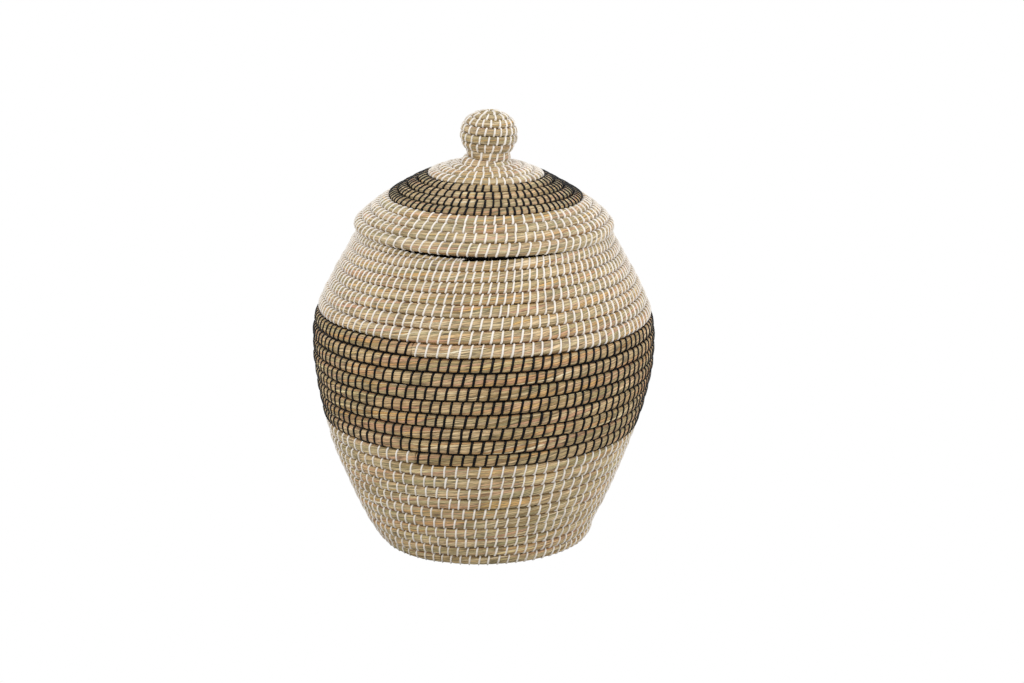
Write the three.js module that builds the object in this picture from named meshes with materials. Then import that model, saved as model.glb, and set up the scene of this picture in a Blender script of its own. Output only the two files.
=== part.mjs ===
// A lidded seagrass basket. One thick bundle of seagrass spirals out from the middle of the base,
// turns up at the base edge and climbs the bellied wall to the rim. A second bundle starts on top of
// the knob, winds down its neck and out over the domed lid to the brim. Every row is sewn to the row
// before it, so the rows lie edge to edge. The wall and the lid change from light to dark sewing strip
// and back, and the coils are divided into pieces there.
// Millimetres and degrees, +Z up, the origin on the floor under the middle of the base, the front
// towards -Y. Angles run from +X towards +Y, which is the way both coils are wound outwards.
import * as THREE from "three";

// Outer outline of the basket
const BASE_RADIUS = 117.5; // where the wall's outline would meet the floor
const BASE_LEAN = 61.5; // how steeply the wall leaves the floor
const BASE_CORNER = 5; // length of the rounding on each side of the base edge
const BELLY_RADIUS = 190.5;
const BELLY_HEIGHT = 230;
const MOUTH_RADIUS = 140;
const MOUTH_LEAN = 29.5; // how far the wall leans in at the rim, from upright
const RIM_HEIGHT = 352;
const BELLY_FULLNESS = { base: 0.49, below: 0.25, above: 0.26, mouth: 0.75 };

// Outer outline of the lid
const LID_RADIUS = 143; // outer edge of the brim
const BRIM_DROP = 6.7; // from the widest place of the brim down to its foot
const DOME_HEIGHT = 77; // neck of the knob above the rim
const DOME_SLOPE = 12.9; // of the dome where it leaves the neck
const DOME_FULLNESS = { neck: 0.5, brim: 0.18 };
const NECK_RADIUS = 24.2;
const NECK_CORNER = 7; // length of the hollow between neck and dome, on each side
const NECK_RISE = 8.5; // narrowest place of the neck above the dome
const KNOB_RADIUS = 31.3;
const KNOB_RISE = 28; // widest place of the knob above the dome
const KNOB_TOP_RISE = 53.5; // top of the knob above the dome
const KNOB_FULLNESS = { top: 0.7, shoulder: 0.6, side: 0.5, neck: 0.34 };
const KNOB_LEAN = 6; // how far the knob sits towards +X of the lid's middle

// Thickness of the bundle along the outlines
const CENTRE_COIL = 6.5; // where the base coil starts
const BASE_COIL = 12.2;
const BASE_SETTLE = 2; // how near the floor a row has to come to lie flat on it
const EDGE_COIL = 13.8; // at the base edge
const LOWER_COIL = 14.3;
const BAND_COIL = 15.7;
const SHOULDER_COIL = 14.8;
const RIM_COIL = 11;
const LOWER_COIL_HEIGHT = 118;
const BAND_COIL_HEIGHT = 138;
const SHOULDER_COIL_HEIGHT = 254;
const KNOB_COIL = 8.6;
const NECK_COIL = 14.4;
const DOME_COIL = 11.6;
const BRIM_COIL = 11.3;

// The winding
const JOIN_ANGLE = -114; // where the wall's strip changes colour
const RIM_END_ANGLE = -99; // where the last turn of the wall runs out
const LID_END_ANGLE = 78; // where the lid's strip changes colour and its last turn ends
const LOWER_TURNS = 10;
const BAND_TURNS = 8;
const UPPER_TURNS = 8; // whole turns above the band, besides the stretch from join to end
const LID_BAND_TURNS = 4;
const LID_BRIM_TURNS = 4;
const RIM_STEP = 6.6; // from the level rim down to the turn below, where the last turn ends
const RIM_END_DROP = 3.1; // how far the last turn has sunk below the rim at its end
const LID_STEP = 8.7; // the step and the drop of the brim
const LID_END_DROP = 0;
const STEP_TURNS = 0.16; // how much of a turn it takes to make up the step
const TAPER_TURNS = 0.14; // and to sink by the drop
const START_RADIUS = 0.3; // from the middle to where a coil starts
const SEAT_TILT = 1.2; // the rim's top falls this much towards +X, as the hand-sewn rows do

// Clearances
const ROW_GAP = 0.6; // between one row and the next
const END_GAP = 0.3; // between the end faces of two lengths of coil
const SEAT_GAP = 0.3; // between the rim and the brim
const CORE_CLEARANCE = 0.1; // between the knob's core and its coil, as a share of the bundle

// The locating ring under the lid, which hangs inside the mouth
const RING_ROWS = 2;
const RING_COIL = 11;

// Facets
const STEPS_PER_TURN = 14;
const STEPS_PER_SMALL_TURN = 8;
const SMALL_TURN_RADIUS = 36;
const SIDES = 6;
const LATHE_STEPS = 20;
const CORE_STEP = 5; // between the places along the knob's coil that shape its core

const radians = THREE.MathUtils.degToRad;
const turnsPerDegree = 1 / 360;
const COIL_PHASE = JOIN_ANGLE + 180 / STEPS_PER_TURN; // puts the joins in the middle of a facet

// The direction that lies `angle` degrees above outwards, in the plane of radius and height.
function direction(angle) {
  return new THREE.Vector2(Math.cos(radians(angle)), Math.sin(radians(angle)));
}

function from(point, angle, length) {
  return direction(angle).multiplyScalar(length).add(point);
}

function curveTo(path, handle1, handle2, end) {
  path.bezierCurveTo(handle1.x, handle1.y, handle2.x, handle2.y, end.x, end.y);
}

// A rounded corner at `point` between two directions, each side `length` long.
function cornerTo(path, point, before, after, length) {
  const start = from(point, before, -length);
  const end = from(point, after, length);
  path.lineTo(start.x, start.y);
  path.quadraticCurveTo(point.x, point.y, end.x, end.y);
  return end;
}

function bodyOutline() {
  const path = new THREE.Path();
  path.moveTo(0, 0);
  const foot = cornerTo(path, new THREE.Vector2(BASE_RADIUS, 0), 0, BASE_LEAN, BASE_CORNER);
  const belly = new THREE.Vector2(BELLY_RADIUS, BELLY_HEIGHT);
  const mouth = new THREE.Vector2(MOUTH_RADIUS, RIM_HEIGHT);
  const above = RIM_HEIGHT - BELLY_HEIGHT;
  curveTo(
    path,
    from(foot, BASE_LEAN, BELLY_FULLNESS.base * BELLY_HEIGHT),
    from(belly, -90, BELLY_FULLNESS.below * BELLY_HEIGHT),
    belly,
  );
  curveTo(
    path,
    from(belly, 90, BELLY_FULLNESS.above * above),
    from(mouth, MOUTH_LEAN - 90, BELLY_FULLNESS.mouth * above),
    mouth,
  );
  // The edge is square to the wall, and its middle is at the rim's height.
  const rim = from(mouth, 90 + MOUTH_LEAN, (RIM_COIL / 2) * Math.tan(radians(MOUTH_LEAN)));
  path.lineTo(rim.x, rim.y);
  return path;
}

// The lid's outline, from the top of the knob to the foot of the brim.
function lidOutline() {
  const neckFoot = RIM_HEIGHT + DOME_HEIGHT;
  const top = new THREE.Vector2(0, neckFoot + KNOB_TOP_RISE);
  const knob = new THREE.Vector2(KNOB_RADIUS, neckFoot + KNOB_RISE);
  const neck = new THREE.Vector2(NECK_RADIUS, neckFoot + NECK_RISE);
  const brim = new THREE.Vector2(LID_RADIUS, RIM_HEIGHT + SEAT_GAP + BRIM_DROP);
  const path = new THREE.Path();
  path.moveTo(top.x, top.y);
  const crown = top.y - knob.y;
  curveTo(
    path,
    from(top, 0, KNOB_FULLNESS.top * knob.x),
    from(knob, 90, KNOB_FULLNESS.shoulder * crown),
    knob,
  );
  const waist = knob.y - neck.y;
  curveTo(
    path,
    from(knob, -90, KNOB_FULLNESS.side * waist),
    from(neck, 90, KNOB_FULLNESS.neck * waist),
    neck,
  );
  const dome = cornerTo(
    path,
    new THREE.Vector2(NECK_RADIUS, neckFoot),
    -90,
    -DOME_SLOPE,
    NECK_CORNER,
  );
  curveTo(
    path,
    from(dome, -DOME_SLOPE, DOME_FULLNESS.neck * (brim.x - dome.x)),
    from(brim, 90, DOME_FULLNESS.brim * (dome.y - brim.y)),
    brim,
  );
  path.lineTo(brim.x, brim.y - BRIM_DROP);
  return path;
}

// The length along an outline at which `reached` first holds.
function lengthWhere(outline, reached) {
  const count = Math.ceil(outline.getLength() * 2);
  const points = outline.getSpacedPoints(count);
  const index = points.findIndex(reached);
  return (index / count) * outline.getLength();
}

function interpolate(table, x) {
  if (x <= table[0][0]) return table[0][1];
  for (let i = 1; i < table.length; i++) {
    const [x0, y0] = table[i - 1];
    const [x1, y1] = table[i];
    if (x <= x1) return y0 + ((y1 - y0) * (x - x0)) / (x1 - x0 || 1);
  }
  return table[table.length - 1][1];
}

// The line that the middle of the bundle follows from row to row: the outline moved inwards by half
// the bundle. `side` is 1 where the outside is on the right of the outline's direction, else -1.
class Meridian {
  constructor(outline, thicknesses, side) {
    const length = outline.getLength();
    const count = Math.ceil(length);
    const points = outline.getSpacedPoints(count);
    this.at = [0];
    this.thick = [];
    this.points = points.map((point, i) => {
      const before = points[Math.max(i - 1, 0)];
      const after = points[Math.min(i + 1, count)];
      const along = after.clone().sub(before).normalize();
      const thickness = interpolate(thicknesses, (i / count) * length);
      this.thick.push(thickness);
      const outwards = new THREE.Vector2(along.y, -along.x).multiplyScalar(side);
      return point.clone().addScaledVector(outwards, -thickness / 2);
    });
    for (let i = 1; i <= count; i++)
      this.at.push(this.at[i - 1] + this.points[i].distanceTo(this.points[i - 1]));
    this.length = this.at[count];
  }

  // The samples on both sides of `length`, and how far it lies between them.
  place(length) {
    let low = 0;
    let high = this.at.length - 1;
    while (high - low > 1) {
      const middle = (low + high) >> 1;
      if (this.at[middle] <= length) low = middle;
      else high = middle;
    }
    return [low, high, (length - this.at[low]) / (this.at[high] - this.at[low])];
  }

  point(length) {
    const [low, high, share] = this.place(length);
    return this.points[low].clone().lerp(this.points[high], share);
  }

  thickness(length) {
    const [low, high, share] = this.place(THREE.MathUtils.clamp(length, 0, this.length));
    return this.thick[low] + (this.thick[high] - this.thick[low]) * share;
  }
}

// Half the width of a flat-topped hexagon of radius 1, measured along a direction.
function reach(vector) {
  const sixth = Math.PI / 3;
  const turned = ((vector.angle() % sixth) + sixth) % sixth;
  return Math.cos(sixth / 2) / Math.cos(turned - sixth / 2);
}

// A bundle wound along a meridian. `back` counts turns from its end towards its start. A row fills
// the space between two seams. `lean` gives how far a row at some height lies towards +X.
class Winding {
  constructor(meridian, endAngle, tilt, step, drop, lean) {
    this.meridian = meridian;
    this.endAngle = endAngle;
    this.tilt = tilt;
    this.step = step;
    this.drop = drop;
    this.lean = lean;
    this.seams = [meridian.length + tilt(endAngle) - step];
    this.perTurn = 240;
    while (this.seams[this.seams.length - 1] > START_RADIUS) {
      const seam = this.seams[this.seams.length - 1];
      this.seams.push(seam - meridian.thickness(seam) / this.perTurn);
    }
    this.turns = (this.seams.length - 1) / this.perTurn;
    this.stations = this.layStations();
  }

  angle(back) {
    return this.endAngle - 360 * back;
  }

  // The seam that a row shares with the row inside it.
  innerSeam(back) {
    const place = THREE.MathUtils.clamp(back * this.perTurn, 0, this.seams.length - 1.001);
    const low = Math.floor(place);
    return this.seams[low] + (this.seams[low + 1] - this.seams[low]) * (place - low);
  }

  // The last turn makes up the step in part of a turn, keeps to the level edge and tapers at its end.
  outerSeam(back) {
    if (back >= 1) return this.innerSeam(back - 1);
    const missing = this.step * Math.max(0, 1 - (1 - back) / STEP_TURNS);
    const sunk = this.drop * Math.max(0, 1 - back / TAPER_TURNS);
    return this.meridian.length + this.tilt(this.angle(back)) - missing - sunk;
  }

  row(back) {
    const inner = this.innerSeam(back);
    const outer = this.outerSeam(back);
    const centre = this.meridian.point((inner + outer) / 2);
    return { centre, room: outer - inner, lean: this.lean(centre.y) };
  }

  // A turn is a polygon. A large one is as wide as its circle on average, a small one lies inside it.
  polygon(radius) {
    const small = radius < SMALL_TURN_RADIUS;
    const steps = small ? STEPS_PER_SMALL_TURN : STEPS_PER_TURN;
    const swell = small ? 1 : 1 / (1 - (Math.PI / steps) ** 2 / 6);
    return { steps, swell, nearest: swell * Math.cos(Math.PI / steps) };
  }

  // The hexagon's radius: as thick as the row's own room and the rows beside it allow.
  radius(back) {
    const { centre, room, lean } = this.row(back);
    const { steps, nearest } = this.polygon(centre.x);
    const towardsLean = Math.cos(radians(this.angle(back)));
    const across = this.meridian.point(this.outerSeam(back)).sub(
      this.meridian.point(this.innerSeam(back)),
    );
    let radius = (room * nearest - ROW_GAP) / 2 / reach(across);
    for (const beside of [back - 1, back + 1]) {
      if (beside < 0 || beside > this.turns) continue;
      const other = this.row(beside);
      const outer = Math.max(centre.x, other.centre.x);
      const dip = this.polygon(other.centre.x).steps === steps ? 0 : outer * (1 - nearest);
      const apart = other.centre.sub(centre);
      apart.x += (other.lean - lean) * towardsLean;
      const share = room / (room + other.room);
      radius = Math.min(radius, (share * (apart.length() * nearest - dip - ROW_GAP)) / reach(apart));
    }
    return radius;
  }

  // Every section of the winding from its end to its start, at angles that all rows share.
  layStations() {
    const backs = [0];
    let back = 0;
    while (back < this.turns - 0.01) {
      const step = 360 / this.polygon(this.row(back).centre.x).steps;
      const passed = Math.ceil((this.angle(back) - COIL_PHASE) / step - 1e-6) - 1;
      const next = COIL_PHASE + step * passed;
      back = Math.min((this.endAngle - next) * turnsPerDegree, this.turns);
      backs.push(back);
    }
    return backs.map((b) => this.section(b));
  }

  section(back) {
    const { centre, lean } = this.row(back);
    const radius = this.radius(back);
    const angle = radians(this.angle(back));
    const { swell } = this.polygon(centre.x);
    const half = radius * direction(60).y;
    let height = centre.y;
    // A row of the base lies flat on the floor, and the last turn lies flat along the edge.
    if (centre.y - half < BASE_SETTLE) height = half;
    if (back < 1) {
      const edge = this.meridian.point(this.outerSeam(back)).y;
      height = edge - Math.sign(edge - centre.y) * half;
    }
    const points = [];
    for (let side = 0; side < SIDES; side++) {
      const spoke = (2 * Math.PI * side) / SIDES;
      const out = centre.x * swell + radius * Math.cos(spoke);
      points.push(
        new THREE.Vector3(
          out * Math.cos(angle) + lean,
          out * Math.sin(angle),
          height + radius * Math.sin(spoke),
        ),
      );
    }
    return { back, points };
  }

  // The section at any place, on the straight between its two neighbours, moved by `shift` mm.
  between(back, shift) {
    const after = this.stations.findIndex((s) => s.back >= back);
    const near = this.stations[Math.max(after - 1, 0)];
    const far = this.stations[after];
    const length = near.points[0].distanceTo(far.points[0]) || 1;
    const share = (back - near.back) / (far.back - near.back || 1) + shift / length;
    return { back, points: near.points.map((p, i) => p.clone().lerp(far.points[i], share)) };
  }

  // The sections of one length of coil, from `start` to `end`, both counted back from the end.
  stretch(start, end) {
    const inside = this.stations.filter((s) => s.back > end + 1e-3 && s.back < start - 1e-3);
    const last = end > 0 ? this.between(end, END_GAP / 2) : this.stations[0];
    const first =
      start < this.turns ? this.between(start, -END_GAP / 2) : this.stations[this.stations.length - 1];
    return [last, ...inside, first];
  }
}

// A closed tube through a row of sections.
function tubeGeometry(sections) {
  const positions = [];
  for (const { points } of sections) for (const p of points) positions.push(p.x, p.y, p.z);
  const faces = [];
  const corner = (ring, side) => ring * SIDES + (side % SIDES);
  for (let ring = 0; ring + 1 < sections.length; ring++)
    for (let side = 0; side < SIDES; side++) {
      const [a, b] = [corner(ring, side), corner(ring, side + 1)];
      const [c, d] = [corner(ring + 1, side), corner(ring + 1, side + 1)];
      faces.push(a, b, c, b, d, c);
    }
  const lastRing = sections.length - 1;
  for (let side = 1; side + 1 < SIDES; side++) {
    faces.push(corner(0, 0), corner(0, side + 1), corner(0, side));
    faces.push(corner(lastRing, 0), corner(lastRing, side), corner(lastRing, side + 1));
  }
  const geometry = new THREE.BufferGeometry();
  geometry.setAttribute("position", new THREE.Float32BufferAttribute(positions, 3));
  geometry.setIndex(faces);
  return geometry;
}

// The least distance from a tube to its own next row, measured on points round its sections.
function leastGap(sections) {
  const perSide = 5;
  const rings = [];
  sections.forEach((section, i) => {
    for (const share of [0, 0.5]) {
      const next = sections[i + 1];
      if (!next && share) continue;
      const corners = section.points.map((p, k) => (share ? p.clone().lerp(next.points[k], share) : p));
      const points = [];
      for (let side = 0; side < SIDES; side++)
        for (let k = 0; k < perSide; k++)
          points.push(corners[side].clone().lerp(corners[(side + 1) % SIDES], k / perSide));
      rings.push({ back: share ? (section.back + next.back) / 2 : section.back, points });
    }
  });
  let least = Infinity;
  for (const ring of rings)
    for (const other of rings) {
      if (Math.abs(other.back - ring.back - 1) > 0.04) continue;
      for (const p of ring.points) for (const q of other.points) least = Math.min(least, p.distanceTo(q));
    }
  return least;
}

// How far the level seat lies above its middle at an angle, along the wall of the basket or lid.
function seatTilt(radius, angle) {
  return -Math.tan(radians(SEAT_TILT)) * radius * Math.cos(radians(angle));
}

// How far a row of the knob and its neck lies towards +X.
function knobLean(height) {
  const foot = RIM_HEIGHT + DOME_HEIGHT;
  return KNOB_LEAN * THREE.MathUtils.smoothstep(height, foot - NECK_RISE, foot + NECK_RISE);
}

const body = bodyOutline();
const bodyEdge = BASE_RADIUS - BASE_CORNER;
const bodyMeridian = new Meridian(
  body,
  [
    [0, CENTRE_COIL],
    [2 * BASE_COIL, BASE_COIL],
    [bodyEdge, EDGE_COIL],
    [lengthWhere(body, (p) => p.y >= LOWER_COIL_HEIGHT), LOWER_COIL],
    [lengthWhere(body, (p) => p.y >= BAND_COIL_HEIGHT), BAND_COIL],
    [lengthWhere(body, (p) => p.y >= SHOULDER_COIL_HEIGHT), SHOULDER_COIL],
    [body.getLength(), RIM_COIL],
  ],
  1,
);
const rimSlope = Math.cos(radians(MOUTH_LEAN));
const wall = new Winding(
  bodyMeridian,
  RIM_END_ANGLE,
  (angle) => seatTilt(MOUTH_RADIUS, angle) / rimSlope,
  RIM_STEP,
  RIM_END_DROP,
  () => 0,
);

const lid = lidOutline();
const domeStart = lengthWhere(lid, (p) => p.y <= RIM_HEIGHT + DOME_HEIGHT && p.x > NECK_RADIUS);
const knobSide = lengthWhere(lid, (p) => p.y <= RIM_HEIGHT + DOME_HEIGHT + KNOB_RISE);
const lidMeridian = new Meridian(
  lid,
  [
    [0, KNOB_COIL],
    [knobSide, KNOB_COIL],
    [domeStart - NECK_CORNER, NECK_COIL],
    [domeStart + NECK_CORNER, NECK_COIL],
    [domeStart + 3 * NECK_CORNER, DOME_COIL],
    [lid.getLength(), BRIM_COIL],
  ],
  -1,
);
const cover = new Winding(
  lidMeridian,
  LID_END_ANGLE,
  (angle) => -seatTilt(MOUTH_RADIUS, angle),
  LID_STEP,
  LID_END_DROP,
  knobLean,
);

// Where the lengths of coil part, in turns back from the end of each winding
const wallJoin = (RIM_END_ANGLE - JOIN_ANGLE) * turnsPerDegree;
const bandTop = UPPER_TURNS + wallJoin;
const bandFoot = bandTop + BAND_TURNS;
const baseEdge = bandFoot + LOWER_TURNS;
const lidBandFoot = LID_BRIM_TURNS;
const lidBandTop = lidBandFoot + LID_BAND_TURNS;

const SEAGRASS = 0xb5a077;
const DARK_BAND = 0x8f7c5a;

function coilMesh(name, winding, start, end, color) {
  const sections = winding.stretch(start, end);
  console.log(name + ": least gap between its rows " + leastGap(sections).toFixed(2) + " mm");
  return mesh(name, tubeGeometry(sections), color);
}

function mesh(name, geometry, color) {
  geometry.computeVertexNormals();
  const made = new THREE.Mesh(
    geometry,
    new THREE.MeshStandardMaterial({ color, roughness: 0.8, metalness: 0 }),
  );
  made.name = name;
  return made;
}

// A turned shape stood up on the Z axis.
function upright(geometry) {
  return geometry.rotateX(Math.PI / 2);
}

// The stuffing that the knob is wound round, as wide as the inside of its coil allows.
function knobCore() {
  const facet = Math.cos(Math.PI / STEPS_PER_SMALL_TURN);
  const foot = RIM_HEIGHT + DOME_HEIGHT - NECK_COIL / 2;
  const top = lidMeridian.points[0].y - KNOB_COIL;
  const profile = [new THREE.Vector2(0, top)];
  let narrowest = Infinity;
  for (let length = KNOB_RADIUS / 2; length < lidMeridian.length; length += CORE_STEP) {
    const { x, y } = lidMeridian.point(length);
    if (y < foot) break;
    const inside = (x - (0.5 + CORE_CLEARANCE) * lidMeridian.thickness(length)) * facet - SEAT_GAP;
    if (length > knobSide) narrowest = Math.min(narrowest, inside);
    profile.push(new THREE.Vector2(Math.min(inside, narrowest), Math.min(y, top)));
  }
  profile.push(new THREE.Vector2(narrowest, foot), new THREE.Vector2(0, foot));
  const geometry = upright(new THREE.LatheGeometry(profile.reverse(), LATHE_STEPS));
  const places = geometry.getAttribute("position");
  for (let i = 0; i < places.count; i++) places.setX(i, places.getX(i) + knobLean(places.getZ(i)));
  return geometry;
}

// The ring sewn into the corner between the brim's last turn and the turn before it: rows one above
// the other, joined, that hang inside the mouth. Its top is square, to lie against both turns.
function locatingRing() {
  const across = (p) => new THREE.Vector2(Math.hypot(p.x, p.y), p.z);
  const [inner, below] = [SIDES / 2, SIDES / 2 + 1]; // corners of a section, inwards and next under it
  const half = RING_COIL / 2;
  const brim = cover.stations.filter((s) => s.back <= 1);
  const outer = Math.min(...brim.map((s) => across(s.points[inner]).x)) - SEAT_GAP;
  // The height of a section's lower side over the ring's outer side, or none if it isn't over it.
  const over = (section) => {
    const tip = across(section.points[inner]);
    const corner = across(section.points[below]);
    const share = (outer - tip.x) / (corner.x - tip.x);
    return share > 0 ? tip.lerp(corner, Math.min(share, 1)).y : Infinity;
  };
  const next = cover.stations.filter((s) => s.back > 1 && s.back <= 2);
  const top = Math.min(...next.map(over)) - SEAT_GAP;
  const sixth = 60;
  const middles = [];
  for (let row = 0; row < RING_ROWS; row++) {
    const height = top - half * direction(sixth).y - RING_COIL * row;
    middles.unshift(new THREE.Vector2(outer - half, height));
  }
  const side = (middle, spokes) => spokes.map((spoke) => from(middle, spoke, half));
  const profile = middles.flatMap((middle) => side(middle, [-sixth, 0, sixth]));
  profile[profile.length - 1].x = outer;
  for (const middle of middles.reverse())
    profile.push(...side(middle, [180 - sixth, 180, 180 + sixth]));
  profile.push(profile[0].clone());
  const start = radians(COIL_PHASE + 90);
  return upright(new THREE.LatheGeometry(profile, STEPS_PER_TURN, start));
}

const basket = new THREE.Group();
basket.add(
  coilMesh("base_coil", wall, wall.turns, baseEdge, SEAGRASS),
  coilMesh("lower_wall_coil", wall, baseEdge, bandFoot, SEAGRASS),
  coilMesh("band_wall_coil", wall, bandFoot, bandTop, DARK_BAND),
  coilMesh("upper_wall_coil", wall, bandTop, 0, SEAGRASS),
);
const lidGroup = new THREE.Group();
lidGroup.add(
  coilMesh("knob_and_crown_coil", cover, cover.turns, lidBandTop, SEAGRASS),
  coilMesh("lid_band_coil", cover, lidBandTop, lidBandFoot, DARK_BAND),
  coilMesh("lid_brim_coil", cover, lidBandFoot, 0, SEAGRASS),
  mesh("knob_core", knobCore(), SEAGRASS),
  mesh("lid_locating_ring", locatingRing(), SEAGRASS),
);
const assembly = new THREE.Group();
assembly.add(basket, lidGroup);

export default assembly;
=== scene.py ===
import math
from bisect import bisect_left

import bpy
import numpy as np
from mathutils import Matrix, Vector


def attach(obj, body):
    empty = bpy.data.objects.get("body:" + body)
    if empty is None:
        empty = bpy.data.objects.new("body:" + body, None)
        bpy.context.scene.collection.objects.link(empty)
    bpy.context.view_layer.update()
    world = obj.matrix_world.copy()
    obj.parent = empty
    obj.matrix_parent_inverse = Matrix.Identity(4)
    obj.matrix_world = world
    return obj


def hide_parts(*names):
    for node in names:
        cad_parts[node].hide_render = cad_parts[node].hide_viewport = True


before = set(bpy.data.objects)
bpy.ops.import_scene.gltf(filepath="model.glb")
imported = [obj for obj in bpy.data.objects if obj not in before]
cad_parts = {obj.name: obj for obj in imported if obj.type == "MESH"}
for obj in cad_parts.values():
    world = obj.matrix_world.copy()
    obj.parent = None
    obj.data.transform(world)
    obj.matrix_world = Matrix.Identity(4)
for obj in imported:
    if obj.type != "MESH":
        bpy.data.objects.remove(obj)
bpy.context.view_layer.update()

# A lidded seagrass basket. Two bundles of seagrass are wound row on row: the wall from the middle
# of the base to the rim, and the lid from the top of the knob to the brim. A narrow strip is
# wrapped round the bundle stitch by stitch and sews each row to the one before it, in light and
# dark bands. Sizes are in millimetres and angles in degrees until a mesh is made. The front
# faces -Y.

MM = 0.001
RANDOM = np.random.default_rng(7)

# The outer outlines, built as in the CAD part and fitted once more to the photo. A lean or slope is
# that of the outline, a fullness is how far a curve bulges, and a corner is the size of a rounding.
BASE_RADIUS = 116.6
BASE_LEAN = 62.3
BASE_CORNER = 3.6
BELLY_RADIUS = 190
BELLY_HEIGHT = 230
MOUTH_RADIUS = 140
MOUTH_LEAN = 29.5
RIM_HEIGHT = 352
BELLY_FULLNESS = {"base": 0.48, "below": 0.24, "above": 0.26, "mouth": 0.75}
LID_RADIUS = 143.6
BRIM_DROP = 6.7  # from the widest place of the brim to its foot
SEAT_GAP = 0.3
SEAT_TILT = 1.2
DOME_HEIGHT = 77
DOME_SLOPE = 10.5
DOME_FULLNESS = {"neck": 0.37, "brim": 0.15}
NECK_FOOT = RIM_HEIGHT + DOME_HEIGHT
NECK_RADIUS = 24.4
NECK_CORNER = 7
NECK_RISE = 6.5  # from the foot of the neck, as are the rises of the knob
KNOB_RADIUS = 31.7
KNOB_RISE = 26.4
KNOB_TOP_RISE = 55.4
KNOB_FULLNESS = {"top": 0.7, "shoulder": 0.6, "side": 0.5, "neck": 0.34}

# The thickness of the bundle
CENTRE_COIL = 6.5
BASE_COIL = 12.2
EDGE_COIL = 13.8
LOWER_COIL = 14.3
BAND_COIL = 15.85
SHOULDER_COIL = 14.8
RIM_COIL = 11
LOWER_COIL_HEIGHT = 118
BAND_COIL_HEIGHT = 138
SHOULDER_COIL_HEIGHT = 254
KNOB_COIL = 8.8
NECK_COIL = 11.9
DOME_COIL = 12.55
BRIM_COIL = 11.85

# The winding. A step is the rise of the last row's top, over STEP_TURNS, to the level seat, and an
# end drop is how far its top sinks again, over TAPER_TURNS, as it runs out.
START_RADIUS = 0.3
JOIN_ANGLE = -114  # where one stretch of the wall ends and the next begins
RIM_END_ANGLE = -99
LID_END_ANGLE = 78
LOWER_TURNS = 10
BAND_TURNS = 8
UPPER_TURNS = 8
LID_BAND_TURNS = 4
LID_BRIM_TURNS = 4
RIM_STEP = 7.4
RIM_END_DROP = 4.6
LID_STEP = 8.7
LID_END_DROP = 0
STEP_TURNS = 0.16
TAPER_TURNS = 0.3

# How far the rows lie off the axis
KNOB_LEAN = 6
CROWN_FORWARD = 3
CROWN_FORWARD_FOOT = 44  # below the foot of the neck, as is the next
CROWN_FORWARD_TOP = 6
WALL_SWAY = 3.3
SWAY_FOOT = 30  # the height at which the sway is full
SWAY_TOP = (100, 200)  # the heights between which it ends
FOOT_SHIFT = 2.2
FOOT_SHIFT_TOP = 14

# The bundle's surface
WINDING_STEPS = 240  # to a turn, in which a row is laid on the row inside it
SIDES = 24  # of a section of the bundle
LINES = 4  # sections to each stitch
ROW_GAP = 0.2
FLATTEST = 1.25  # a section is at most this many times as deep as it is high
SEAM_WANDER = 0.4  # of the line between two rows, up and down
SEAM_WANDER_LENGTH = 110
SEAM_RIPPLE = 0.18  # the same from stitch to stitch
SEAM_RIPPLE_LENGTH = 24
WANDER_START = 1 / 8  # of a turn, in which the wander grows from the level end of the bundle
WANDER_COIL = 14  # thinner bundles wander less
PINCH = 0.35  # how far a stitch draws the bundle in
BULGE = 0.05  # how far it swells between two stitches
SWELL_POWER = 1.3  # the higher, the wider the dent under a stitch
LUMP = 0.3  # slow unevenness of the bundle
LUMP_LENGTH = 35
STEM_RELIEF = 0.22
STEM_LENGTH = 70
STEM_REACH = 0.1  # how far the stems swell towards the next row
STEMS_UNDER_STITCH = 0.25  # the share of that relief left under a stitch
TWIST = 6  # of the stems round the bundle, to the run of the row
PERIMETER = 44  # round a section of the bundle, for the pattern of its stems

# The sewing strip
STRIP_THICKNESS = 1.15
STRIP_EDGE = -0.2  # its edges lie in the stems
STRIP_ACROSS = (-0.5, -0.22, 0.22, 0.5)  # the corners of its section, in shares of its width
STRIP_STAND = 0.75  # how far the strip stands beyond the outlines above
STRIP_SIDES = 16
STRIP_REACH = 0.7  # how far the strip reaches over the seam to the next row
STRIP_FLARE = 0.12  # the share by which it is wider there
STRIP_PATTERN_STEP = 1.3  # perimeters of pattern from one stitch to the next
WIDTH_UNEVENNESS = 0.07  # from stitch to stitch, as a share
SPACING_UNEVENNESS = 0.05  # the same for their spacing
NEAR_STITCH = 0.1  # plus the pull below: the share of a step within which a stitch is drawn
SLANT_UNEVENNESS = 0.45
SEAM_WIDTH = 1.6
SEAM_DEPTH = 2.7  # of the dark strip laid in the seams of the dark bands, partly as painted shade
SEAM_CROWN = 0.3
SEAM_UNEVENNESS = 0.5
SEAM_UNEVENNESS_LENGTH = 9
SEAM_SECTIONS = 150  # to a turn

# Loose blades. Their places round the bundle are in shares of half a turn from its foot, outwards.
BLADE_LENGTHS = (25, 105)
BLADE_STEP = 1.4  # from section to section
BLADE_HALF_WIDTHS = (0.3, 0.65)
BLADE_POINT = 6  # the length of its thin ends
BLADE_POINT_WIDTH = 0.15  # of the very end, as a share
BLADE_STARTS = (0.1, 0.75)
BLADE_CLIMBS = (0.05, 0.4)  # in BLADE_CLIMB_LENGTH
BLADE_CLIMB_LENGTH = 60
BLADE_TOP = 0.88
BLADE_WAVE = 0.04  # in radians round the bundle
BLADE_WAVE_RUN = 9  # along the bundle, to a radian of that wave
BLADE_PHASES = (0, 6)
BLADE_RISE = 0.3
BLADE_EDGE = -0.1
BLADE_PATTERN = (-0.5, 0, 0.5, 1)  # over its front and back to the first edge
BLADES_OUTSIDE = 0.75  # the share of them, with the rest on the inner side of the wall

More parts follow.
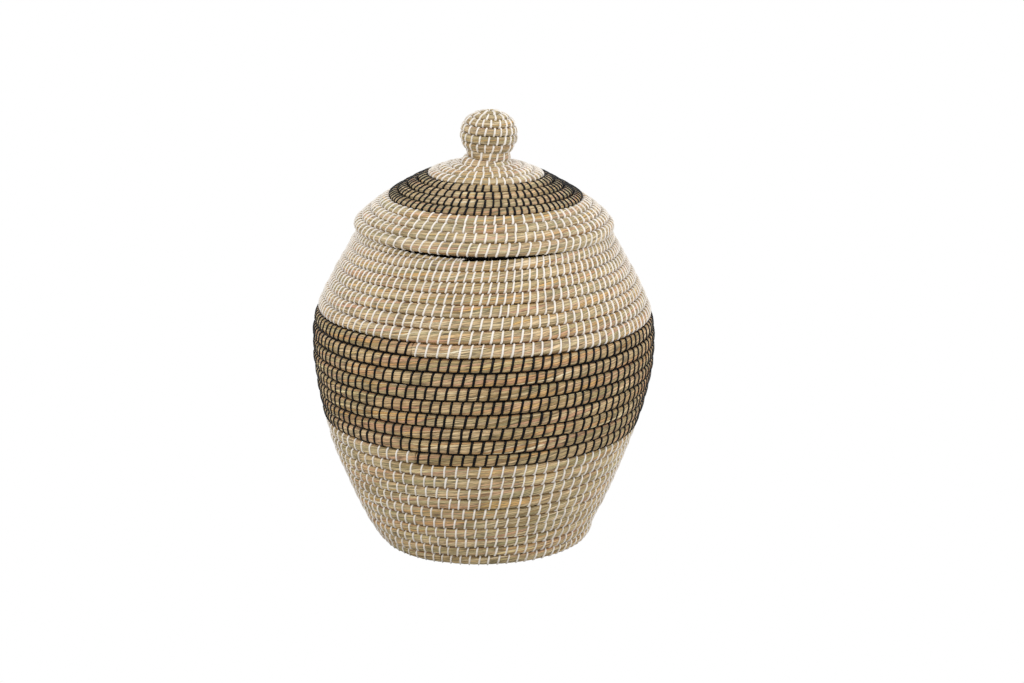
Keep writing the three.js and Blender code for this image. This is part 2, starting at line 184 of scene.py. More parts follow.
# From stitch to stitch, and how much further along a row its stitches lie than those of the row
# inside it, with the share by which they are drawn to that place. Each entry begins with the turns
# counted back from the end of the bundle.
WALL_SPACING = [
    (1, 8.0), (3, 8.4), (6, 9.8), (8, 10.2), (10, 10.5), (12, 10.1), (14, 10.3),
    (16, 11.0), (17, 11.2), (26, 9.8), (28, 8.6), (34, 8.0),
]
WALL_DRIFT = [
    (0, 1.5, 0.3), (8, 1.5, 0.3), (8.1, -3, 0.3), (16, -3, 0.3), (16.1, 1.0, 0.3), (34, 0.5, 0.3),
]
FASTENING = (7.8, 4.6, 1.6)  # from the end of the rim to its last stitches
LID_SPACING = [
    (0, 10.4), (4, 10.2), (4.1, 8.3), (8, 8.3), (8.1, 8.0), (12, 7.9), (14, 7.6), (20, 7.0),
]
LID_DRIFT = [(0, 1.0, 0.3), (12, 1.0, 0.3), (12.5, 4.1, 0.45)]
RING_SPACING = [(0, 2.9)]
RING_DRIFT = [(0, 1.0, 0.3)]

# How far the top of a stitch lies along the row from its foot
WALL_SLANT = [(0, 3.3), (8, 3.3), (8.5, 3.7), (16, 3.5), (16.5, 2.8), (26, 2.4)]
LID_SLANT = [(0, 4.6), (1, 4.4), (1.4, 2.4), (8, 2.0), (12, 1.6)]
RING_SLANT = [(0, 2.6)]

# How square a section is: 2 is an ellipse
WALL_SQUARENESS = [(0, 2.5), (1, 2.8), (2, 3.1)]
LID_SQUARENESS = [(0, 2.4), (1, 2.4), (1.5, 3.1)]
RING_SQUARENESS = [(0, 3)]

# The locating ring under the lid. Its wide dark stitches lie so close that they cover it, partly
# as painted shade in the gap between the brim and the rim
RING_ROWS = 2
RING_COIL = 10.4
RING_RADIUS = 122.4
RING_TOP = 362.2
RING_STEP_TURNS = 0.16
RING_STRIP_WIDTH = 3.8

# The stuffing of the knob: the radii at shares of the way from the foot of the neck to KNOB_CAP
# bundles below the knob's top. Past 1 it is the tuft that closes the middle of the top.
KNOB_FILLING = [
    (0.01, 9), (0.03, 10.5), (0.12, 12), (0.25, 11.5), (0.45, 14), (0.62, 18.5), (0.78, 19),
    (0.9, 14), (0.96, 8), (1.0, 7.5), (1.13, 7), (1.18, 5.5), (1.2, 2),
]
KNOB_CAP = 1.4

# The folded start of the wall's bundle in the middle of the base: levels and radii
BASE_START = [(0.9, 3), (1.3, 6.5), (2.2, 7.5), (4.3, 7.5), (5.2, 6.5), (5.6, 3)]
WAD_SIDES = 32
WAD_RIDGES = ((0.03, 9, 0), (0.02, 14, 2))  # share of the radius, number round, and shift

# The studio, in metres and watts, and the photograph's camera
FLOOR_SIZE = 30
LAMP_AIM = 0.21  # height of the point that the lamps face
FILL = 1.0  # of the white room round the object
LAMPS = [  # name, place, width and power
    ("key", (-1.6, -2.4, 2.2), 1.6, 44),
    ("side", (2.7, -0.6, 1.2), 1.8, 34),
]
CAMERA_PLACE = (0, -2.683, 0.947)
CAMERA_ANGLES = (74.895, 0, -0.667)
CAMERA_LENS = 87.75
CAMERA_SENSOR = 36

# Each stretch of bundle has its own tint, the dark bands' a little darker as painted shade of their
# dark strips, and its own painted shade in the seams: darkest in the dark bands, and darker low on
# the wall than above
GRASS_TINTS_AND_SEAM_SHADES = {
    "lid": ("#FFFCFD", "#E9E1D4"),
    "lid_band": ("#FAF3F0", "#8E806F"),
    "upper_wall": ("#FCF5F0", "#E6DAC6"),
    "wall_band": ("#F8ECE1", "#8E7F6A"),
    "lower_wall": ("#FFF9F1", "#B8A389"),
}


def direction(angle):
    return np.array([math.cos(math.radians(angle)), math.sin(math.radians(angle))])


def bezier(points, count=160):
    t = np.linspace(0, 1, count)[:, None]
    if len(points) == 3:
        a, b, c = points
        return (1 - t) ** 2 * a + 2 * t * (1 - t) * b + t**2 * c
    a, b, c, d = points
    return (1 - t) ** 3 * a + 3 * t * (1 - t) ** 2 * b + 3 * t**2 * (1 - t) * c + t**3 * d


def corner(point, before, after, length):
    start = point - length * direction(before)
    end = point + length * direction(after)
    return bezier([start, point, end], 24), end


def respaced(stretches):
    """The stretches of an outline as one line, with a point about every millimetre."""
    line = np.vstack(stretches)
    at = np.concatenate([[0], np.cumsum(np.hypot(*np.diff(line, axis=0).T))])
    count = math.ceil(at[-1])
    even = np.linspace(0, at[-1], count + 1)
    return np.column_stack([np.interp(even, at, line[:, k]) for k in (0, 1)]), at[-1]


def body_outline():
    rounding, foot = corner(np.array([BASE_RADIUS, 0.0]), 0, BASE_LEAN, BASE_CORNER)
    belly = np.array([BELLY_RADIUS, BELLY_HEIGHT])
    mouth = np.array([MOUTH_RADIUS, RIM_HEIGHT])
    above = RIM_HEIGHT - BELLY_HEIGHT
    full = BELLY_FULLNESS
    lower = [
        foot,
        foot + full["base"] * BELLY_HEIGHT * direction(BASE_LEAN),
        belly - [0, full["below"] * BELLY_HEIGHT],
        belly,
    ]
    upper = [
        belly,
        belly + [0, full["above"] * above],
        mouth + full["mouth"] * above * direction(MOUTH_LEAN - 90),
        mouth,
    ]
    rim = mouth + RIM_COIL / 2 * math.tan(math.radians(MOUTH_LEAN)) * direction(90 + MOUTH_LEAN)
    return respaced([[[0, 0]], rounding, bezier(lower), bezier(upper), [rim]])


def lid_outline():
    top = np.array([0, NECK_FOOT + KNOB_TOP_RISE])
    knob = np.array([KNOB_RADIUS, NECK_FOOT + KNOB_RISE])
    neck = np.array([NECK_RADIUS, NECK_FOOT + NECK_RISE])
    brim = np.array([LID_RADIUS, RIM_HEIGHT + SEAT_GAP + BRIM_DROP])
    full = KNOB_FULLNESS
    crown = [
        top,
        top + [full["top"] * knob[0], 0],
        knob + [0, full["shoulder"] * (top[1] - knob[1])],
        knob,
    ]
    waist = knob[1] - neck[1]
    side = [knob, knob - [0, full["side"] * waist], neck + [0, full["neck"] * waist], neck]
    hollow, dome = corner(np.array([NECK_RADIUS, NECK_FOOT]), -90, -DOME_SLOPE, NECK_CORNER)
    vault = [
        dome,
        dome + DOME_FULLNESS["neck"] * (brim[0] - dome[0]) * direction(-DOME_SLOPE),
        brim + [0, DOME_FULLNESS["brim"] * (dome[1] - brim[1])],
        brim,
    ]
    foot = brim - [0, BRIM_DROP]
    return respaced([bezier(crown), bezier(side), hollow, bezier(vault), [foot]])


class Meridian:
    """The line that the middle of a bundle follows from row to row, and the bundle's thickness."""

    def __init__(self, outline, thicknesses, side):
        line, length = outline
        along = np.gradient(line, axis=0)
        along /= np.hypot(*along.T)[:, None]
        thick = np.interp(np.linspace(0, length, len(line)), *zip(*thicknesses))
        outwards = np.column_stack([along[:, 1], -along[:, 0]]) * side
        self.line = line - outwards * thick[:, None] / 2
        self.at = np.concatenate([[0], np.cumsum(np.hypot(*np.diff(self.line, axis=0).T))])
        self.length = self.at[-1]
        self.thick = thick
        self.outwards = outwards

    def point(self, length):
        past = np.maximum(0, length - self.length)[..., None]
        end = (self.line[-1] - self.line[-2]) / (self.at[-1] - self.at[-2])
        inside = [np.interp(length, self.at, self.line[:, k]) for k in (0, 1)]
        return np.stack(inside, axis=-1) + past * end

    def thickness(self, length):
        return np.interp(length, self.at, self.thick)

    def normal(self, length):
        made = np.stack([np.interp(length, self.at, self.outwards[:, k]) for k in (0, 1)], axis=-1)
        return made / np.linalg.norm(made, axis=-1, keepdims=True)


class Route:
    """A bundle's way round the axis: the middle, outward normal and half sizes of its section, and
    how far it lies towards +X and +Y, as tables over `back`, the turns counted back from its end.
    """

    PER_TURN = 120

    def __init__(self, end_angle, turns, middle, normal, halves, lean, slants, squareness):
        self.end_angle = end_angle
        self.turns = turns
        self.slants = slants
        self.squareness = squareness
        self.middle = [*middle.T, *normal.T, *lean]
        self.half = [halves[0], halves[1] - STRIP_STAND]
        self.backs = np.linspace(0, turns, len(middle))
        self.stitches = None
        step = np.diff(self.backs) * 2 * math.pi * middle[1:, 0]
        self.run = np.concatenate([[0], np.cumsum(step)])
        self.depth_lumps = slow_noise(self.run, LUMP_LENGTH, LUMP)

    def radius(self, back):
        return np.interp(back, self.backs, self.middle[0])

    def shifted(self, back, distance):
        """The place that lies a distance further along the bundle."""
        return back - distance / (2 * math.pi * self.radius(back))

    def slant(self, back):
        return np.interp(back, *zip(*self.slants))

    def pulse(self, back, around):
        """How far the skin stands out between two stitches, or lies in under one."""
        straight = self.shifted(back, self.slant(back) / 2 * np.cos(around))
        number = np.interp(-straight, -self.stitches, np.arange(len(self.stitches)))
        swell = np.abs(np.sin(np.pi * number)) ** SWELL_POWER
        return -PINCH + (PINCH + BULGE) * swell

    def surface(self, back, around, lift, reach=STEM_REACH):
        """Points of the section's skin: `around` runs from 0 at the foot, outwards, to 2 pi. They
        lie outside it by `lift`, but towards the rows on either side by no more than `reach`."""
        height, depth = self.halves(back)
        depth = depth + np.interp(back, self.backs, self.depth_lumps)
        power = 2 / np.interp(back, *zip(*self.squareness))
        out = np.sin(around)
        up = -np.cos(around)
        a = np.sign(out) * np.abs(out) ** power * (depth + lift)
        b = np.sign(up) * np.abs(up) ** power * (height + np.minimum(lift, reach))
        return self.place(back, a, b)

    def halves(self, back):
        """Half the height and half the depth of the section."""
        return [np.interp(back, self.backs, half) for half in self.half]

    def place(self, back, out, up):
        """The points that lie `out` and `up` from the middle of the section, in its own plane."""
        x, z, nx, nz, right, rear = (np.interp(back, self.backs, column) for column in self.middle)
        radius = x + out * nx - up * nz
        level = np.maximum(z + out * nz + up * nx, 0)
        angle = np.radians(self.end_angle - 360 * back)
        return np.stack(
            [radius * np.cos(angle) + right, radius * np.sin(angle) + rear, level], axis=-1
        )


def slow_noise(run, wavelength, height):
    """A smooth random curve over a run, with a swing of about `height` either way: one wave of the
    length given, and a shorter, weaker one."""
    made = np.zeros(len(run))
    for part, share in ((1, 0.7), (0.37, 0.4)):
        length = wavelength * part
        knots = np.arange(0, run[-1] + 3 * length, length)
        values = RANDOM.normal(0, height * share, len(knots))
        low = (run / length).astype(int)
        ease = smooth_step(run / length - low, 0, 1)
        made += values[low] * (1 - ease) + values[low + 1] * ease
    return np.clip(made, -2 * height, 2 * height)


def smooth_step(value, low, high):
    share = np.clip((value - low) / (high - low), 0, 1)
    return share * share * (3 - 2 * share)


def lid_lean(level):
    """How far a row of the lid lies towards +X and +Y: the knob and its neck lean to the right, and
    the crown lies a little to the front."""
    right = KNOB_LEAN * smooth_step(level, NECK_FOOT - NECK_RISE, NECK_FOOT + NECK_RISE)
    front = smooth_step(level, NECK_FOOT - CROWN_FORWARD_FOOT, NECK_FOOT - CROWN_FORWARD_TOP)
    return np.array([right, -CROWN_FORWARD * front])


def wall_lean(level):
    """How far a row of the wall lies towards +X and +Y: below the band it sways a little, towards
    +X at the base and then towards -X."""
    sway = WALL_SWAY * smooth_step(level, 0, SWAY_FOOT) * (1 - smooth_step(level, *SWAY_TOP))
    foot = FOOT_SHIFT * (1 - smooth_step(level, 0, FOOT_SHIFT_TOP))
    return np.array([foot - sway, np.zeros(len(level))])


def winding(meridian, end_angle, tilt, step, drop, lean, slants, squareness):
    """The route of a bundle wound along a meridian, laid back from its end as in the CAD part: each
    row fills the room between the seam on its inner side and the one a turn further on."""
    seams = [meridian.length + tilt(end_angle) - step]
    while seams[-1] > START_RADIUS:
        seams.append(seams[-1] - float(meridian.thickness(seams[-1])) / WINDING_STEPS)
    seams = np.array(seams)
    number = np.arange(len(seams))
    turns = number[-1] / WINDING_STEPS
    step_length = 2 * math.pi / WINDING_STEPS * meridian.point(seams)[1:, 0]
    run = np.concatenate([[0], np.cumsum(step_length)])
    wander = slow_noise(run, SEAM_WANDER_LENGTH, SEAM_WANDER)
    wander += slow_noise(run, SEAM_RIPPLE_LENGTH, SEAM_RIPPLE)
    wander *= np.minimum(1, number / (WANDER_START * WINDING_STEPS))
    seams += wander * np.minimum(1, meridian.thickness(seams) / WANDER_COIL) ** 3

    def inner(back):
        """The seam on the row's inner side."""
        return np.interp(back * WINDING_STEPS, number, seams)

    back = np.linspace(0, turns, int(turns * Route.PER_TURN))
    angle = end_angle - 360 * back
    missing = step * np.maximum(0, 1 - (1 - back) / STEP_TURNS)
    sunk = drop * smooth_step(TAPER_TURNS - back, 0, TAPER_TURNS)
    level = meridian.length + tilt(angle) - missing - sunk
    outer = np.where(back < 1, level, inner(back - 1))
    room = outer - inner(back)
    middle = (outer + inner(back)) / 2
    depth = np.minimum(meridian.thickness(middle), FLATTEST * room) / 2
    points = meridian.point(middle)
    halves = ((room - ROW_GAP) / 2, depth)
    return Route(
        end_angle, turns, points, meridian.normal(middle), halves, lean(points[:, 1]), slants,
        squareness,
    )


def sew(route, spacing, drift, fastening=()):
    """Lays the stitches from the start of a bundle to its end. A stitch is drawn towards the place
    that `drift` gives beside its neighbour in the row inside, so that stitches line up over a few
    rows. More of them crowd together at the end, at the distances from it given in `fastening`."""
    margin = 1e-4  # of a turn, by which the first stitch lies on the bundle
    backs, shifts, pulls = zip(*drift)
    places = [-route.turns + margin]
    while places[-1] < 0:
        back = -places[-1]
        pitch = np.interp(back, *zip(*spacing)) * (1 + RANDOM.normal(0, SPACING_UNEVENNESS))
        after = route.shifted(back, pitch)
        shift, pull = np.interp(back, backs, shifts), np.interp(back, backs, pulls)
        beside = bisect_left(places, -(after + 1))
        near = [places[k] for k in (beside - 1, beside) if 0 <= k < len(places)]
        if near:
            wanted = [route.shifted(-p - 1, shift) for p in near]
            nearest = min(wanted, key=lambda w: abs(w - after))
            if abs(nearest - after) < (NEAR_STITCH + pull) * abs(after - back):
                after += pull * (nearest - after)
        places.append(-after)
    last = -route.shifted(0, -max(fastening, default=0))
    places = [place for place in places if place < last]
    places += [-route.shifted(0, -distance) for distance in fastening]
    route.stitches = -np.array(places)


def make_mesh(name, points, faces, uv, material, body, slot, replaced=(), tones=None):
    """A smooth piece from points in millimetres. `faces` holds one array for each number of
    corners, and `uv` a pair for each corner."""
    mesh = bpy.data.meshes.new(name)
    mesh.vertices.add(len(points))
    mesh.vertices.foreach_set("co", (points * MM).astype(np.float32).ravel())
    sizes = np.concatenate([np.full(len(part), part.shape[1]) for part in faces])
    mesh.loops.add(int(sizes.sum()))
    mesh.loops.foreach_set("vertex_index", np.concatenate([part.ravel() for part in faces]))
    mesh.polygons.add(len(sizes))
    mesh.polygons.foreach_set("loop_start", np.concatenate([[0], np.cumsum(sizes)[:-1]]))
    mesh.update(calc_edges=True)
    mesh.uv_layers.new(name="UVMap").data.foreach_set("uv", uv.astype(np.float32).ravel())
    if tones is not None:
        attribute = mesh.attributes.new("tone", "FLOAT", "POINT")
        attribute.data.foreach_set("value", tones.astype(np.float32))
    mesh.shade_smooth()
    mesh.materials.append(material)
    made = bpy.data.objects.new(name, mesh)
    bpy.context.scene.collection.objects.link(made)
    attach(made, body)
    if replaced:
        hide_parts(*replaced)
    return made


def quads(*corners):
    """Quads from the numbers of the points at their four corners."""
    return np.stack(np.broadcast_arrays(*corners), axis=-1).reshape(-1, 4)


def quad_uv(*corners):
    """The corners of such quads on a flat pattern, from pairs of coordinates in millimetres."""
    pairs = [np.stack(np.broadcast_arrays(*corner), axis=-1) for corner in corners]
    return np.stack(pairs, axis=-2).reshape(-1, 2) * MM


def grid_faces(rows, columns):
    """Quads over a grid of points, whose columns close on themselves."""
    row = np.arange(rows - 1)[:, None] * columns
    column = np.arange(columns)[None, :]
    after = (column + 1) % columns
    return quads(row + column, row + columns + column, row + columns + after, row + after)


def grid_uv(along, across):
    """The pattern over such a grid, with `along` at its rows and `across` between its columns."""
    near, far = along[:-1, None], along[1:, None]
    low, high = across[None, :-1], across[None, 1:]
    return quad_uv((near, low), (far, low), (far, high), (near, high))


def tube(points, along, across):
    """A closed skin over sections of points, with a fan on both ends: its points, its faces, and
    its pattern, whose coordinates are `along` and `across`."""
    rows, columns = points.shape[:2]
    points = points.reshape(-1, 3)
    count = len(points)
    side = np.arange(columns)
    after = (side + 1) % columns
    last = count - columns
    fans = np.concatenate([
        np.stack([np.full(columns, count), side, after], axis=-1),
        np.stack([np.full(columns, count + 1), last + after, last + side], axis=-1),
    ])
    middles = [points[:columns].mean(axis=0), points[-columns:].mean(axis=0)]
    uv = np.vstack([grid_uv(along, across), np.zeros((fans.size, 2))])
    return np.vstack([points, middles]), [grid_faces(rows, columns), fans], uv


def bundle(name, route, start, end, material, body, replaced):
    """The skin of a stretch of bundle, drawn in under each stitch, with a cap on both ends."""
    margin = 1e-3  # of a turn, between the ends and the next sections
    number = np.arange(len(route.stitches) * LINES) / LINES
    backs = np.interp(number, np.arange(len(route.stitches)), route.stitches)
    between = backs[(backs < start - margin) & (backs > end + margin)]
    backs = np.concatenate([[start], between, [end]])
    around = np.linspace(0, 2 * math.pi, SIDES, endpoint=False)
    back = np.broadcast_to(backs[:, None], (len(backs), SIDES))
    back = np.clip(route.shifted(back, -route.slant(back) / 2 * np.cos(around)), end, start)
    run = route.run[-1] - np.interp(backs, route.backs, route.run)
    stems = np.stack([slow_noise(run, STEM_LENGTH, STEM_RELIEF) for _ in range(SIDES)], axis=1)
    twist = run[:, None] * math.tan(math.radians(TWIST)) / PERIMETER * SIDES
    column = np.arange(SIDES)[None, :] - twist
    low = np.floor(column).astype(int)
    near = np.take_along_axis(stems, low % SIDES, axis=1)
    far = np.take_along_axis(stems, (low + 1) % SIDES, axis=1)
    relief = near + (far - near) * (column - low)
    pulse = route.pulse(back, around)
    calm = np.clip((pulse + PINCH) / (PINCH + BULGE), STEMS_UNDER_STITCH, 1)
    points = route.surface(back, around, pulse + relief * calm)
    skin = tube(points, run, np.arange(SIDES + 1) / SIDES * PERIMETER)
    return make_mesh(name, *skin, material, body, "seagrass", replaced)


def strip(name, route, start, end, full_width, material, body, slot):
    """The stitches of a stretch of bundle: narrow closed bands wrapped round it."""
    backs = route.stitches[(route.stitches < start) & (route.stitches > end)]
    count = len(backs)
    around = np.linspace(0, 2 * math.pi, STRIP_SIDES, endpoint=False)[None, :, None]
    width = full_width * (1 + RANDOM.normal(0, WIDTH_UNEVENNESS, count))
    slant = route.slant(backs) + RANDOM.normal(0, SLANT_UNEVENNESS, count)
    profile = np.array(STRIP_ACROSS)
    rise = np.array([STRIP_EDGE, STRIP_THICKNESS, STRIP_THICKNESS, STRIP_EDGE])
    flare = 1 + STRIP_FLARE * np.cos(around) ** 2
    aside = width[:, None, None] * flare * profile - slant[:, None, None] / 2 * np.cos(around)
    back = route.shifted(np.broadcast_to(backs[:, None, None], aside.shape), aside)
    points = route.surface(back, around, rise - PINCH, STRIP_REACH).reshape(-1, 3)
    columns = len(profile)
    ring = np.arange(STRIP_SIDES)[:, None]
    column = np.arange(columns)[None, :]
    beside = (column + 1) % columns
    near, far = ring * columns, (ring + 1) % STRIP_SIDES * columns
    one = quads(near + column, near + beside, far + beside, far + column)
    number = np.arange(count)[:, None, None]
    faces = (number * STRIP_SIDES * columns + one).reshape(-1, 4)
    place = (number * STRIP_PATTERN_STEP + ring / STRIP_SIDES) * PERIMETER
    after = place + PERIMETER / STRIP_SIDES
    low, high = profile * full_width, np.roll(profile, -1) * full_width
    uv = quad_uv((place, low), (place, high), (after, high), (after, low))
    return make_mesh(name, points, [faces], uv, material, body, slot)


def seam_shade_strip(name, route, start, end, side, material, body, slot):
    """A dark strip sunk in the seams between the rows, partly the strip running on from stitch to
    stitch and partly painted shade. `side` is 1 where the row inside lies above, else -1."""
    backs = np.arange(start, end, -1 / SEAM_SECTIONS)[:, None]
    height, depth = route.halves(backs)
    across = np.array([-1, 0, 1]) * SEAM_WIDTH / 2
    run = route.run[-1] - np.interp(backs[:, 0], route.backs, route.run)
    rise = np.array([-SEAM_CROWN, 0, -SEAM_CROWN])
    rise = rise + slow_noise(run, SEAM_UNEVENNESS_LENGTH, SEAM_UNEVENNESS)[:, None]
    points = route.place(backs, depth - SEAM_DEPTH + rise, side * (height + ROW_GAP / 2) + across)
    skin = tube(points, run, np.append(across, 2 * across[-1]))
    return make_mesh(name, *skin, material, body, slot)


def straws(name, route, start, end, count, material, body):
    """Loose pale blades that cross the front of the bundle under a few stitches."""
    blades, tones = [], []
    for _ in range(count):
        back = RANDOM.uniform(end, start)
        length = RANDOM.uniform(*BLADE_LENGTHS)
        sections = int(length / BLADE_STEP)
        run = np.linspace(0, length, sections)
        backs = route.shifted(np.full(sections, back), run)
        low = RANDOM.uniform(*BLADE_STARTS) * math.pi
        climb = RANDOM.uniform(*BLADE_CLIMBS) * math.pi * length / BLADE_CLIMB_LENGTH
        around = np.linspace(low, min(low + climb, BLADE_TOP * math.pi), sections)
        around += BLADE_WAVE * np.sin(run / BLADE_WAVE_RUN + RANDOM.uniform(*BLADE_PHASES))
        around += RANDOM.choice([0, math.pi], p=[BLADES_OUTSIDE, 1 - BLADES_OUTSIDE])
        ends = np.minimum(run, length - run) / BLADE_POINT + BLADE_POINT_WIDTH
        width = RANDOM.uniform(*BLADE_HALF_WIDTHS) * np.minimum(1, ends)
        turn = 2 * math.pi / PERIMETER
        sides = around[:, None] + width[:, None] * turn * np.array([-1, 0, 1])
        backs = np.broadcast_to(np.clip(backs, end, start)[:, None], sides.shape)
        lift = route.pulse(backs, sides) + np.array([BLADE_EDGE, BLADE_RISE, BLADE_EDGE])
        blade = tube(route.surface(backs, sides, lift), run, np.array(BLADE_PATTERN))
        blades.append(blade)
        tones.append(np.full(len(blade[0]), RANDOM.uniform(0, 1)))
    points, faces, patterns = zip(*blades)
    firsts = np.cumsum([0, *map(len, points)])
    splits = [4 * len(skin) for skin, _ in faces]
    skins, fans = ([part[k] + first for part, first in zip(faces, firsts)] for k in (0, 1))
    uv = [pattern[:at] for pattern, at in zip(patterns, splits)]
    uv += [pattern[at:] for pattern, at in zip(patterns, splits)]
    return make_mesh(
        name, np.vstack(points), [np.vstack(skins), np.vstack(fans)], np.vstack(uv), material, body,
        "seagrass", tones=np.concatenate(tones),
    )


def linear(colour):
    """An sRGB colour such as #C9B894 as linear red, green, blue and alpha."""
    parts = [int(colour[k:k + 2], 16) / 255 for k in (1, 3, 5)]
    return [p / 12.92 if p <= 0.04045 else ((p + 0.055) / 1.055) ** 2.4 for p in parts] + [1]


def per_mm(along, across):
    """The scale at which one unit of a pattern measures `along` by `across` millimetres."""
    return 1000 / along, 1000 / across, 1


def add(tree, kind, inputs=None, stops=(), **settings):
    """Adds a shader node with its settings and links. An input is a value, an output, or a node
    whose first output in use feeds it. `stops` are the places and colours of a colour ramp."""
    made = tree.nodes.new("ShaderNode" + kind)
    for name, value in settings.items():
        setattr(made, name, value)
    for name, value in (inputs or {}).items():
        if isinstance(value, bpy.types.Node):
            value = next(output for output in value.outputs if output.enabled)
        if isinstance(value, bpy.types.NodeSocket):
            tree.links.new(value, made.inputs[name])
        else:
            made.inputs[name].default_value = value
    for number, (place, colour) in enumerate(stops):
        if number >= len(made.color_ramp.elements):
            made.color_ramp.elements.new(place)
        element = made.color_ramp.elements[number]
        element.position = place
        element.color = linear(colour)
    return made


# Settings of a Mix node that lays one colour over another
MULTIPLIED = {"data_type": "RGBA", "blend_type": "MULTIPLY"}


def new_material(name, colour, ior, metallic, roughness, specular):
    material = bpy.data.materials.new(name)
    material.use_nodes = True
    surface = material.node_tree.nodes["Principled BSDF"]
    surface.inputs["Base Color"].default_value = linear(colour)
    surface.inputs["IOR"].default_value = ior
    surface.inputs["Metallic"].default_value = metallic
    surface.inputs["Roughness"].default_value = roughness
    surface.inputs["Specular IOR Level"].default_value = specular
    return material, material.node_tree, surface.inputs


def seagrass_material(name, tint, seam):
    """Seagrass: long stems of sedge, cut, dried in the sun and gathered by hand into a bundle. The
    dried rind is matt with a faint sheen, each stem has a colour of its own from grey green through
    straw to rust, and fine ribs run along it. Shade is painted into the seams, where the rows press
    together, in the colour `seam`."""
    material, tree, surface = new_material(
        name, "#C6AF86", ior=1.47, metallic=0, roughness=0.62, specular=0.35
    )
    uv = add(tree, "UVMap")

    # The stems turn slowly round the bundle, and none runs quite straight: bends 60 mm long and
    # about 2 mm deep
    place = add(tree, "SeparateXYZ", {"Vector": uv})
    turned = add(tree, "Math", {
        0: place.outputs["X"], 1: -math.tan(math.radians(TWIST)), 2: place.outputs["Y"],
    }, operation="MULTIPLY_ADD")
    flow = add(tree, "CombineXYZ", {"X": place.outputs["X"], "Y": turned})
    bends = add(tree, "VectorMath", {0: flow, 1: per_mm(60, 60)}, operation="MULTIPLY")
    bends = add(tree, "TexNoise", {"Vector": bends, "Scale": 1.0, "Detail": 1.0})
    flow = add(tree, "VectorMath", {
        0: bends.outputs["Color"], 1: (0, 0.004, 0), 2: flow,
    }, operation="MULTIPLY_ADD")

    # Stems 1.8 mm wide, each seen for about 60 mm before it dips under its neighbours
    cells = add(tree, "VectorMath", {0: flow, 1: per_mm(60, 1.8)}, operation="MULTIPLY")
    stem = add(tree, "TexVoronoi", {"Vector": cells, "Scale": 1.0}, voronoi_dimensions="2D")
    edge = add(
        tree, "TexVoronoi", {"Vector": cells, "Scale": 1.0},
        voronoi_dimensions="2D", feature="DISTANCE_TO_EDGE",
    )
    pick = add(tree, "SeparateColor", {"Color": stem.outputs["Color"]})
    colour = add(tree, "ValToRGB", {"Fac": pick.outputs["Red"]}, [
        (0.0, "#8E7446"), (0.12, "#ACA67B"), (0.24, "#C9B288"), (0.38, "#E0CFA9"),
        (0.52, "#B3AC83"), (0.64, "#D2BC95"), (0.76, "#CC9F84"), (0.88, "#D1A862"),
        (1.0, "#F2E7C8"),
    ])

    # Patches 70 mm long and 9 mm wide, where a few stems have dried greener or browner together
    patches = add(tree, "VectorMath", {0: flow, 1: per_mm(70, 9)}, operation="MULTIPLY")
    patches = add(tree, "TexNoise", {"Vector": patches, "Scale": 1.0}, noise_dimensions="2D")
    patches = add(tree, "ValToRGB", {"Fac": patches.outputs["Fac"]}, [
        (0.3, "#A89F77"), (0.45, "#C6AF86"), (0.55, "#D0BB92"), (0.72, "#C39A6C"),
    ])
    colour = add(tree, "Mix", {0: 0.3, 6: colour, 7: patches}, data_type="RGBA")

    # Ribs of a dried stem are 0.2 mm wide, too fine to show, so they are drawn 0.8 mm wide
    ribs = add(tree, "VectorMath", {0: flow, 1: per_mm(14, 0.8)}, operation="MULTIPLY")
    ribs = add(
        tree, "TexNoise", {"Vector": ribs, "Scale": 1.0, "Detail": 3.0, "Roughness": 0.7},
        noise_dimensions="2D",
    ).outputs["Fac"]
    dark_ribs = add(tree, "ValToRGB", {"Fac": ribs}, [(0.35, "#A8A8A8"), (0.56, "#FFFFFF")])
    colour = add(tree, "Mix", {0: 0.95, 6: colour, 7: dark_ribs}, **MULTIPLIED)

    # The shade between two stems
    gaps = add(tree, "ValToRGB", {"Fac": edge}, [(0.0, "#7C7C7C"), (0.14, "#FFFFFF")])
    colour = add(tree, "Mix", {0: 0.8, 6: colour, 7: gaps}, **MULTIPLIED)

    # Painted shade towards the seams, at the foot and the top of the section
    around = add(tree, "Math", {
        0: place.outputs["Y"], 1: 2 * math.pi * 1000 / PERIMETER,
    }, operation="MULTIPLY")
    seams = add(tree, "Math", {0: around}, operation="COSINE")
    seams = add(tree, "Math", {0: seams}, operation="ABSOLUTE")
    seams = add(tree, "ValToRGB", {"Fac": seams}, [(0.7, "#FFFFFF"), (0.93, seam)])
    colour = add(tree, "Mix", {0: 1.0, 6: colour, 7: seams}, **MULTIPLIED)
    colour = add(tree, "Mix", {0: 1.0, 6: colour, 7: linear(tint)}, **MULTIPLIED)
    tree.links.new(colour.outputs[2], surface["Base Color"])

    # Round stems with fine ribs, 0.6 mm proud
    stems = add(tree, "ValToRGB", {"Fac": edge}, [
        (0.0, "#000000"), (0.12, "#C4C4C4"), (0.4, "#FFFFFF"),
    ])
    relief = add(tree, "Mix", {0: 0.3, 6: stems, 7: ribs}, data_type="RGBA")
    bump = add(tree, "Bump", {"Height": relief, "Strength": 0.8, "Distance": 0.0006})
    tree.links.new(bump.outputs[0], surface["Normal"])
    return material


